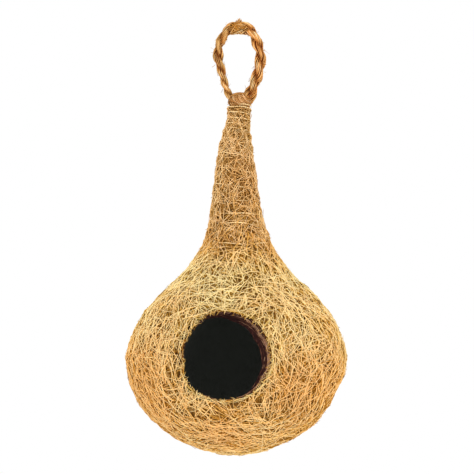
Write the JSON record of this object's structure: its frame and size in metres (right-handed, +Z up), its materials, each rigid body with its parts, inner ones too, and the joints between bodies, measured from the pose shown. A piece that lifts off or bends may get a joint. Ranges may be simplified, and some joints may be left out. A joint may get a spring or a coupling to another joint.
{
  "type": "hanging bird nest",
  "caption": "Hanging bird nest of matted coconut fibre: a hollow bulb with a round entrance, a long neck bound with thread, and a twisted rope loop to hang it by.",
  "frame": {"origin": "the underside of the loop's crown, where a hook bears; the nest hangs below it", "axes": "+Z up, along the nest's length; -Y is the side the entrance faces; the loop lies in the XZ plane"},
  "size_m": [0.18, 0.1751, 0.3579],
  "materials": {
    "coir_felt": "matted coconut fibre, golden tan, dry and matt",
    "coir_rope": "twisted coir rope, reddish brown, hairy and matt",
    "coir_wad": "loose wad of coir, reddish brown, matt",
    "pale_thread": "thin cream binding thread, matt"
  },
  "bodies": {
    "root": {"nest_body": "coir_felt", "rope_strand_a": "coir_rope", "rope_strand_b": "coir_rope", "loop_wad": "coir_wad", "neck_wad": "coir_wad", "binding_thread": "pale_thread"}
  },
  "joints": []
}
